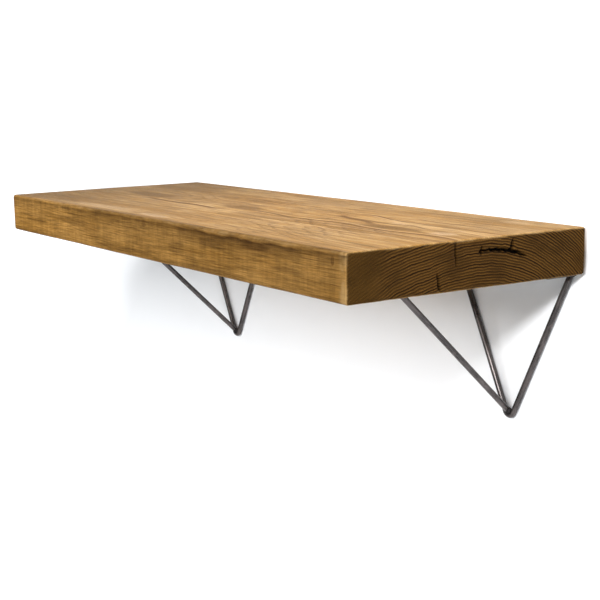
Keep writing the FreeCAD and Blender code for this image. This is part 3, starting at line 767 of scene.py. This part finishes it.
def strutPath(middle):
    # the straight line from the melted foot up to the stem
    foot = np.array([middle, -rods["radius"], strutFoot])
    head = np.array([middle, -rods["strutReach"], steelUnder])
    start = foot + (head - foot) * (rods["strutTrim"] - rods["radius"]) / (rods["strutReach"] - rods["radius"])
    return start + (head - start) * np.linspace(0.0, 1.0, 30)[:, None]


def makeRodSteel():
    # raw drawn bar under clear lacquer: long draw lines, brown and blue tints;
    # its pattern space is (along the bar, r cos a, r sin a)
    material, tree = newMaterial("raw bar")
    node = tree.nodes.new("ShaderNodeAttribute")
    node.attribute_name = "barSpace"
    inMm = stretched(tree, node.outputs["Vector"], (1000, 1000, 1000))
    lines = cloudy(tree, inMm, (0.03, 1.5, 1.5), 3, 0.65)
    cloud = cloudy(tree, inMm, (0.07, 0.20, 0.20), 3, 0.6, (4, 2, 0))
    spot = easeBetween(tree, cloudy(tree, inMm, (0.5, 0.6, 0.6), 2, 0.6, (9, 1, 0)), 0.60, 0.75)
    colour = blendColour(tree, easeBetween(tree, cloud, 0.32, 0.68), rods["darkScale"], rods["paleScale"])
    colour = blendColour(tree, easeBetween(tree, lines, 0.35, 0.70, 0.0, 0.55), colour, rods["drawLine"])
    colour = blendColour(tree, times(tree, spot, 0.6), colour, rods["rustSpot"])
    wear = total(tree, times(tree, lines, 0.5), times(tree, cloud, 0.5))
    height = total(tree, times(tree, lines, 0.7), times(tree, spot, -0.5))
    roughness = easeBetween(tree, wear, 0.3, 0.7, *rods["roughness"], "LINEAR")
    finishSurface(tree, colour, roughness, height, rods["bumpDepth"], {"Metallic": rods["metallic"]})
    return material


rodSteel = makeRodSteel()
for side, middle in bracketMiddles.items():
    for name, node, path, facing, start in (
            ("_wall_rod", "_rear_rod", vPath(middle), (0, 1, 0), (2, steelUnder)),
            ("_strut", "_front_rod", strutPath(middle), (1, 0, 0), (1, -rods["strutTrim"]))):
        points, faces, own = tubeAlong(path, facing, rods["radius"], rods["sides"], start, (2, steelUnder))
        piece = putMesh(side + name, points, faces, rodSteel, {"barSpace": own})
        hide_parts(side + node)
        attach(piece, "root")
print("rods done")

# welds
welds = {
    "width": 1.0 * mm,             # the beads round the rods
    "rise": 0.9 * mm,
    "coins": 11,
    "seamReach": 12.4 * mm,        # the bead along the stem's end, each way
    "seamHalf": 2.1 * mm,
    "seamRise": 0.85 * mm,
    "seamCoins": 14,
    "blob": (3.3 * mm, 2.9 * mm, 3.2 * mm),          # the bead at the tip of the V
    "blobShift": (0.7 * mm, -4.3 * mm, 1.4 * mm),
    "heatTints": [(0.30, (0.006, 0.0055, 0.0055)), (0.50, (0.016, 0.013, 0.012)),
                  (0.62, (0.012, 0.0095, 0.0115)), (0.80, (0.045, 0.034, 0.026))],
    "roughness": (0.45, 0.7),
    "bumpDepth": 0.05 * mm,
    "metallic": 0.6,
}


def collarWeld(centre, halfX, halfY, seed):
    # a ring round the rod: c + (hx + w cos t) cos a, (hy + w cos t) sin a, -h sin t,
    # where w and h swell with every coin of the bead
    a = np.linspace(0, 2 * np.pi, 88, endpoint=False)[:, None]
    t = np.linspace(0, 2 * np.pi, 18, endpoint=False)[None]
    coin = np.abs(np.sin(0.5 * welds["coins"] * a + seed + 0.35 * np.sin(t)))
    swell = 0.78 + 0.22 * np.sqrt(coin) + 0.06 * np.sin(3 * a + seed)
    wide = welds["width"] * swell * np.cos(t)
    x = (halfX + wide) * np.cos(a)
    y = (halfY + wide) * np.sin(a)
    z = -welds["rise"] * swell * np.sin(t)
    points = np.stack([centre[0] + x, np.minimum(centre[1] + y, -0.25 * mm), centre[2] + z], -1)
    return points.reshape(-1, 3), gridFaces(88, 18, closeRows=True, closeColumns=True)[:, ::-1]


def seamWeld(middle, across, height):
    # a half-round bead from side to side of the stem, its radius falling to
    # nothing at both ends: e(s) = (1 - s^8) and swelling with every coin
    s = np.linspace(-1, 1, 150)[:, None]
    t = np.linspace(0, 2 * np.pi, 20, endpoint=False)[None]
    coin = np.abs(np.sin(0.5 * math.pi * welds["seamCoins"] * (s + 0.02 * np.cos(t) ** 2)))
    swell = (0.80 + 0.20 * np.sqrt(coin)) * np.maximum(1 - s ** 8, 0.02)
    y = welds["seamHalf"] * swell * np.cos(t)
    z = welds["seamRise"] * swell * np.sin(t)
    rings = np.stack([middle + welds["seamReach"] * s + 0 * t, across + y, height - z], -1)
    return closeTube(rings)


def blobWeld(middle):
    # an ellipsoid from pole to pole, ridged by the last passes of the torch
    u = np.linspace(0.03, math.pi - 0.03, 40)[:, None]
    v = np.linspace(0, 2 * np.pi, 56, endpoint=False)[None]
    ridge = 1 + 0.055 * np.sin(9 * u + 0.8 * np.sin(2 * v)) + 0.04 * np.sin(3 * v + 2 * u)
    a, b, c = welds["blob"]
    dx, y, dz = welds["blobShift"]
    rings = np.stack([middle + dx + a * ridge * np.sin(u) * np.cos(v),
                      np.minimum(y + b * ridge * np.sin(u) * np.sin(v), -0.3 * mm),
                      strutFoot + dz + c * ridge * np.cos(u) + 0 * v], -1)
    return closeTube(rings)


def makeWeldSteel():
    # burnt bead: near black, with straw and violet heat tints
    material, tree = newMaterial("weld bead")
    inMm = objectSpace(tree)[0]
    heat = cloudy(tree, inMm, (0.3, 0.3, 0.3), 3, 0.6)
    grain = cloudy(tree, inMm, (1.6, 1.6, 1.6), 3, 0.6)
    colour = colourRamp(tree, heat, welds["heatTints"])
    roughness = easeBetween(tree, grain, 0.3, 0.7, *welds["roughness"], "LINEAR")
    finishSurface(tree, colour, roughness, grain, welds["bumpDepth"], {"Metallic": welds["metallic"]})
    return material


def joinParts(parts):
    # several (points, faces) as one mesh
    points, faces, start = [], [], 0
    for partPoints, partFaces in parts:
        points.append(partPoints)
        faces += [[start + int(index) for index in face] for face in partFaces]
        start += len(partPoints)
    return np.concatenate(points), faces


weldSteel = makeWeldSteel()
radius = rods["radius"]
stemFront = float(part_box("left_wall_angle")[0][1])  # the angle's front edge
for side, middle in bracketMiddles.items():
    legs = [collarWeld((middle + sign * rods["legSpread"] / 2, -radius, steelUnder),
                       radius / math.cos(legLean), radius, 1.3 * sign) for sign in (-1, 1)]
    beads = {"_leg_welds": joinParts(legs),
             "_strut_weld": collarWeld((middle, -rods["strutReach"], steelUnder),
                                       radius, radius / math.cos(strutLean), 0.6),
             "_stem_weld": seamWeld(middle, stemFront, steelUnder),
             "_apex_weld": blobWeld(middle)}
    for name, (points, faces) in beads.items():
        piece = putMesh(side + name.replace("weld", "bead"), points, faces, weldSteel)
        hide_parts(side + name)
        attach(piece, "root")
print("welds done")


# CAD pieces that stay
plates = {
    "coolScale": (0.070, 0.066, 0.064),
    "brownScale": (0.125, 0.108, 0.094),
    "rubbed": (0.19, 0.175, 0.16),
    "pit": (0.045, 0.030, 0.022),
    "roughness": (0.36, 0.55),
    "bumpDepth": 0.04 * mm,
    "metallic": 0.8,
}
screws = {
    "zinc": (0.50, 0.50, 0.50),
    "strawZinc": (0.66, 0.65, 0.60),
    "roughness": (0.26, 0.42),
    "bumpDepth": 0.01 * mm,
    "metallic": 1.0,
}


def makePlateSteel():
    # hot rolled plate: mill scale in cool and brown clouds, a few rubbed patches
    material, tree = newMaterial("hot rolled plate")
    inMm = objectSpace(tree)[0]
    cloud = cloudy(tree, inMm, (0.05, 0.05, 0.05), 4, 0.6)
    grain = cloudy(tree, inMm, (0.12, 1.2, 1.2), 4, 0.65)
    pit = easeBetween(tree, cloudy(tree, inMm, (0.9, 0.9, 0.9), 2, 0.5), 0.60, 0.72)
    colour = blendColour(tree, easeBetween(tree, cloud, 0.35, 0.65), plates["coolScale"], plates["brownScale"])
    colour = blendColour(tree, easeBetween(tree, grain, 0.45, 0.75, 0.0, 0.5), colour, plates["rubbed"])
    colour = blendColour(tree, times(tree, pit, 0.5), colour, plates["pit"])
    height = total(tree, times(tree, grain, 0.6), times(tree, pit, -0.6))
    roughness = easeBetween(tree, grain, 0.3, 0.7, *plates["roughness"], "LINEAR")
    finishSurface(tree, colour, roughness, height, plates["bumpDepth"], {"Metallic": plates["metallic"]})
    return material


def makeZinc():
    # plated screws: clouds of grey and straw, finely tumbled
    material, tree = newMaterial("bright zinc")
    inMm = objectSpace(tree)[0]
    cloud = cloudy(tree, inMm, (0.5, 0.5, 0.5), 3, 0.6)
    brush = cloudy(tree, inMm, (3, 3, 3), 2, 0.6)
    colour = blendColour(tree, easeBetween(tree, cloud, 0.35, 0.65), screws["zinc"], screws["strawZinc"])
    roughness = easeBetween(tree, brush, 0.3, 0.7, *screws["roughness"], "LINEAR")
    finishSurface(tree, colour, roughness, brush, screws["bumpDepth"], {"Metallic": screws["metallic"]})
    return material


plateSteel, zinc = makePlateSteel(), makeZinc()


def dress(node, material):
    # the material in every slot of a CAD piece
    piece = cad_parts[node]
    if not piece.data.materials:
        piece.data.materials.append(material)
    for index in range(len(piece.material_slots)):
        piece.material_slots[index].material = material


for side in bracketMiddles:
    for name in ("_wall_angle", "_stem"):
        dress(side + name, plateSteel)
    for name in ("_angle_screws", "_stem_screw"):
        dress(side + name, zinc)
print("plates and screws dressed")


# stage, light and camera
studio = {
    "floorDrop": 1.05,
    "floorHalf": 4.0,
    "floorColour": (0.72, 0.72, 0.715),
    "wallHalf": 3.5,
    "wallTop": 2.6,
    "wallGap": 0.0006,             # from the brackets' back to the wall
    "wallColour": (0.895, 0.915, 0.94),
    "wallGlow": 0.45,
    "glowAbove": (-2.0, 22.0),     # in mm: none at the first, full at the second
    "glowBelow": (-120.0, -360.0),
    "glowLeft": (-460.0, -660.0),
    "skyStrength": 0.08,
    # the key is a long strip far in front, rising to the right
    "keyDepth": 5.0,
    "keySpan": (0.20, 0.72),       # its two ends, as metres aside per metre of depth
    "keyRise": 0.75,
    "keyWidth": 0.40,
    "keyPower": 330.0,
    "topPower": 27.0,
    "topPlace": (0.90, -0.30, 1.35),
    "topSize": (1.0, 0.8),
    "backPower": 60.0,
    "backPlace": (-0.9, 2.6, 1.1),
    "backSize": (1.6, 1.2),
}


def makeStagePiece(name, points, faces, material):
    # a flat piece of the set
    mesh = bpy.data.meshes.new(name)
    mesh.from_pydata(points, [], faces)
    mesh.materials.append(material)
    piece = bpy.data.objects.new(name, mesh)
    bpy.context.collection.objects.link(piece)
    return piece


floorMaterial, floorTree = newMaterial("pale floor")
finishSurface(floorTree, studio["floorColour"], 0.75)

# the wall is a one-sided set piece: from behind it isn't there, and it is open
# where the board's back hides it, so that the back is lit too
wallMaterial, wallTree = newMaterial("white wall")
paint = finishSurface(wallTree, studio["wallColour"], 0.85,
                      fixed={"Specular IOR Level": 0.05, "Emission Color": (1, 1, 1, 1)})
wallX, _, wallZ = objectSpace(wallTree)[1]
# it glows above the board, well below it and far to the left
glow = strongest(wallTree, easeBetween(wallTree, wallZ, *studio["glowAbove"]),
                 easeBetween(wallTree, wallZ, *studio["glowBelow"]),
                 easeBetween(wallTree, wallX, *studio["glowLeft"]))
feed(wallTree, times(wallTree, glow, studio["wallGlow"]), paint.inputs["Emission Strength"])
oneSided = wallTree.nodes.new("ShaderNodeMixShader")
clear = wallTree.nodes.new("ShaderNodeBsdfTransparent")
wallTree.links.new(wallTree.nodes.new("ShaderNodeNewGeometry").outputs["Backfacing"], oneSided.inputs[0])
wallTree.links.new(paint.outputs[0], oneSided.inputs[1])
wallTree.links.new(clear.outputs[0], oneSided.inputs[2])
for node in wallTree.nodes:
    if node.type == "OUTPUT_MATERIAL":
        wallTree.links.new(oneSided.outputs[0], node.inputs["Surface"])
floorZ, wallY, corners = -studio["floorDrop"], studio["wallGap"], ((-1, -1), (1, -1), (1, 1), (-1, 1))
makeStagePiece("floor", [(a * studio["floorHalf"], b * studio["floorHalf"], floorZ) for a, b in corners],
               [(0, 1, 2, 3)], floorMaterial)
outer = [(a * studio["wallHalf"], wallY, studio["wallTop"] if b > 0 else floorZ) for a, b in corners]
inner = [(a * (endX - 10 * mm), wallY, boardBox[1][2] - 2 * mm if b > 0 else boardUnder) for a, b in corners]
wall = makeStagePiece("wall", outer + inner, [(k, (k + 1) % 4, (k + 1) % 4 + 4, k + 4) for k in range(4)],
                      wallMaterial)

# the sky lights softly but looks white
world = bpy.data.worlds.new("studio")
bpy.context.scene.world = world
world.use_nodes = True
sky = world.node_tree
background = sky.nodes["Background"]
background.inputs[0].default_value = (1, 1, 1, 1)
seen = sky.nodes.new("ShaderNodeMapRange")
sky.links.new(sky.nodes.new("ShaderNodeLightPath").outputs["Is Camera Ray"], seen.inputs["Value"])
seen.inputs["To Min"].default_value = studio["skyStrength"]
sky.links.new(seen.outputs[0], background.inputs[1])


def makeSoftbox(name, place, aim, size, power, lean=(1, 0, 0)):
    # an area light at its place, facing its aim, its long side along the lean
    light = bpy.data.lights.new(name, "AREA")
    light.shape = "RECTANGLE"
    light.size, light.size_y = size
    light.energy = power
    lamp = bpy.data.objects.new(name, light)
    back = (Vector(place) - Vector(aim)).normalized()
    along = Vector(lean)
    along = (along - back * along.dot(back)).normalized()
    turn = Matrix((along, back.cross(along), back)).transposed()
    lamp.matrix_world = Matrix.Translation(place) @ turn.to_4x4()
    lamp.visible_camera = False
    bpy.context.collection.objects.link(lamp)
    return lamp


keyLow, keyHigh = (depth * studio["keyDepth"] for depth in studio["keySpan"])
keyMiddle = (keyLow + keyHigh) / 2
makeSoftbox("key", (endX + keyMiddle, -studio["keyDepth"], keyMiddle * studio["keyRise"]), (0.1, 0, 0),
            ((keyHigh - keyLow) * math.hypot(1, studio["keyRise"]), studio["keyWidth"]), studio["keyPower"],
            (1, 0, studio["keyRise"]))
topLamp = makeSoftbox("top", studio["topPlace"], (0.16, -0.12, 0), studio["topSize"], studio["topPower"])
flagged = bpy.data.collections.new("kept out of the top light")
flagged.objects.link(wall)
topLamp.light_linking.receiver_collection = flagged
for entry in flagged.collection_objects:
    entry.light_linking.link_state = "EXCLUDE"
makeSoftbox("back", studio["backPlace"], (0, 0, 0), studio["backSize"], studio["backPower"])

view = {
    "place": (1.003116, -0.736077, 0.140830),
    "azimuth": 58.34, "elevation": 11.52, "roll": -1.224,
    "lens": 77.8625, "shift": (0.0782, 0.0667),
}
bpy.context.scene.view_settings.view_transform = "Standard"
camera = bpy.data.objects.new("camera", bpy.data.cameras.new("camera"))
bpy.context.collection.objects.link(camera)
azimuth, elevation, roll = (math.radians(view[key]) for key in ("azimuth", "elevation", "roll"))
forward = Vector((-math.sin(azimuth) * math.cos(elevation), math.cos(azimuth) * math.cos(elevation),
                  -math.sin(elevation)))
right = forward.cross(Vector((0, 0, 1))).normalized()
up = right.cross(forward)
right, up = right * math.cos(roll) + up * math.sin(roll), up * math.cos(roll) - right * math.sin(roll)
camera.matrix_world = Matrix.Translation(view["place"]) @ Matrix((right, up, -forward)).transposed().to_4x4()
camera.data.lens = view["lens"]
camera.data.sensor_width = 36.0
camera.data.shift_x, camera.data.shift_y = view["shift"]
camera.data.clip_start = 0.01
bpy.context.scene.camera = camera
print("stage, light and camera done")
